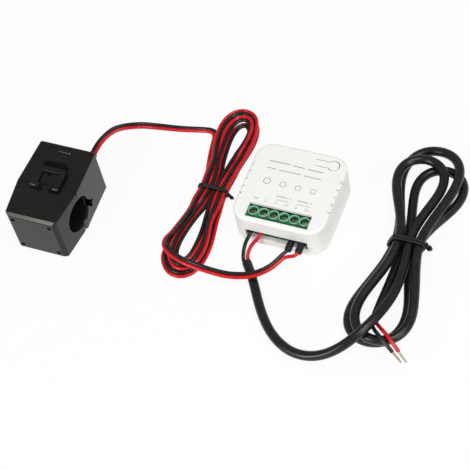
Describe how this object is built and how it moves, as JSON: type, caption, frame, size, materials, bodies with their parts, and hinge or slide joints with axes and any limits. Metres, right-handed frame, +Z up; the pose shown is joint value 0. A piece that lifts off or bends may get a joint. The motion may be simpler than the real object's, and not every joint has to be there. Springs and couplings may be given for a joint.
{
  "type": "smart energy monitor",
  "caption": "Square white energy meter module with a row of green screw terminals, a hinged split-core current clamp on a twin lead in a tied hank, and a coiled supply cable.",
  "frame": {"origin": "centre of the module's flat base, on the surface that the object lies on", "axes": "+Z up out of the module's top face, -Y out of the wire slot at the front, +X along the terminal row from terminal 1 to terminal 6"},
  "size_m": [0.2035, 0.1287, 0.0311],
  "materials": {
    "white_shell": "fine satin moulding",
    "circuit_laminate": "satin",
    "green_block": "semi-gloss moulding",
    "steel": "bright plated",
    "brass": "plated",
    "black_moulding": "satin moulding",
    "component_blue": "gloss",
    "component_tan": "satin",
    "core_metal": "ground",
    "copper": "enamelled wire",
    "lead_red": "glossy soft insulation",
    "cord_black": "satin soft insulation",
    "tinned": "tinned strands"
  },
  "bodies": {
    "monitor": {"base_shell": "white_shell", "top_cover": "white_shell", "circuit_board": "circuit_laminate", "tact_switch": "black_moulding", "terminal_block": "green_block", "contact_bars": "brass", "transformer": "component_tan", "capacitor_large": "component_blue", "capacitor_small": "component_blue", "varistor": "component_blue", "fuse": "component_tan", "radio_module": "circuit_laminate", "meter_chip": "black_moulding", "clamp_body": "black_moulding", "clamp_cap": "black_moulding", "hinge_pin_left": "steel", "hinge_pin_right": "steel", "core_fixed": "core_metal", "bobbin": "component_tan", "winding": "copper", "lead_grommet": "black_moulding", "lead_run": "lead_red", "lead_hank": "lead_red", "lead_tie": "cord_black", "lead_tail": "lead_red", "lead_core_black": "cord_black", "lead_core_red": "lead_red", "lead_sleeve_black": "cord_black", "lead_sleeve_red": "cord_black", "supply_core_black": "cord_black", "supply_core_red": "lead_red", "cable_run": "cord_black", "cable_hank": "cord_black", "cable_tie": "cord_black", "tail_black": "cord_black", "tail_red": "lead_red", "tip_black": "tinned", "tip_red": "tinned"},
    "key": {"push_key": "white_shell"},
    "jaw": {"clamp_jaw": "black_moulding", "core_jaw": "core_metal", "core_spring": "steel"},
    "latch": {"latch_clip": "black_moulding"},
    "screw_1": {"clamp_screw_1": "steel"},
    "cage_1": {"wire_cage_1": "brass"},
    "screw_2": {"clamp_screw_2": "steel"},
    "cage_2": {"wire_cage_2": "brass"},
    "screw_3": {"clamp_screw_3": "steel"},
    "cage_3": {"wire_cage_3": "brass"},
    "screw_4": {"clamp_screw_4": "steel"},
    "cage_4": {"wire_cage_4": "brass"},
    "screw_5": {"clamp_screw_5": "steel"},
    "cage_5": {"wire_cage_5": "brass"},
    "screw_6": {"clamp_screw_6": "steel"},
    "cage_6": {"wire_cage_6": "brass"}
  },
  "joints": [
    {"name": "key_press", "type": "hinge", "parent": "monitor", "child": "key", "pos_m": [0.0072, 0.017, 0.01795], "axis": [0, 1, 0], "range_deg": [0, 3.5], "stiffness_Nm_per_rad": 0.06},
    {"name": "jaw_open", "type": "hinge", "parent": "monitor", "child": "jaw", "pos_m": [-0.1095, -0.0362, 0.0024], "axis": [1, 0, 0], "range_deg": [0, 80]},
    {"name": "latch_lift", "type": "hinge", "parent": "jaw", "child": "latch", "pos_m": [-0.1095, -0.0378, 0.03], "axis": [1, 0, 0], "range_deg": [0, 52.1]},
    {"name": "screw_turn_1", "type": "hinge", "parent": "monitor", "child": "screw_1", "pos_m": [-0.0127, -0.0162, 0.014], "axis": [0, 0, 1], "range_deg": [0, 1445]},
    {"name": "cage_slide_1", "type": "slide", "parent": "monitor", "child": "cage_1", "axis": [0, 0, -1], "range_m": [0, 0.0018]},
    {"name": "screw_turn_2", "type": "hinge", "parent": "monitor", "child": "screw_2", "pos_m": [-0.00762, -0.0162, 0.014], "axis": [0, 0, 1], "range_deg": [0, 1445]},
    {"name": "cage_slide_2", "type": "slide", "parent": "monitor", "child": "cage_2", "axis": [0, 0, -1], "range_m": [0, 0.0018]},
    {"name": "screw_turn_3", "type": "hinge", "parent": "monitor", "child": "screw_3", "pos_m": [-0.00254, -0.0162, 0.014], "axis": [0, 0, 1], "range_deg": [0, 1445]},
    {"name": "cage_slide_3", "type": "slide", "parent": "monitor", "child": "cage_3", "axis": [0, 0, -1], "range_m": [0, 0.0018]},
    {"name": "screw_turn_4", "type": "hinge", "parent": "monitor", "child": "screw_4", "pos_m": [0.00254, -0.0162, 0.014], "axis": [0, 0, 1], "range_deg": [0, 1445]},
    {"name": "cage_slide_4", "type": "slide", "parent": "monitor", "child": "cage_4", "axis": [0, 0, -1], "range_m": [0, 0.0018]},
    {"name": "screw_turn_5", "type": "hinge", "parent": "monitor", "child": "screw_5", "pos_m": [0.00762, -0.0162, 0.014], "axis": [0, 0, 1], "range_deg": [0, 1445]},
    {"name": "cage_slide_5", "type": "slide", "parent": "monitor", "child": "cage_5", "axis": [0, 0, -1], "range_m": [0, 0.0018]},
    {"name": "screw_turn_6", "type": "hinge", "parent": "monitor", "child": "screw_6", "pos_m": [0.0127, -0.0162, 0.014], "axis": [0, 0, 1], "range_deg": [0, 1445]},
    {"name": "cage_slide_6", "type": "slide", "parent": "monitor", "child": "cage_6", "axis": [0, 0, -1], "range_m": [0, 0.0018]}
  ],
  "couplings": [
    {"joint": "latch_lift", "follows": "jaw_open", "ratio": 0.65},
    {"joint": "screw_turn_1", "follows": "cage_slide_1", "rad_per_m": 13963},
    {"joint": "screw_turn_2", "follows": "cage_slide_2", "rad_per_m": 13963},
    {"joint": "screw_turn_3", "follows": "cage_slide_3", "rad_per_m": 13963},
    {"joint": "screw_turn_4", "follows": "cage_slide_4", "rad_per_m": 13963},
    {"joint": "screw_turn_5", "follows": "cage_slide_5", "rad_per_m": 13963},
    {"joint": "screw_turn_6", "follows": "cage_slide_6", "rad_per_m": 13963}
  ]
}
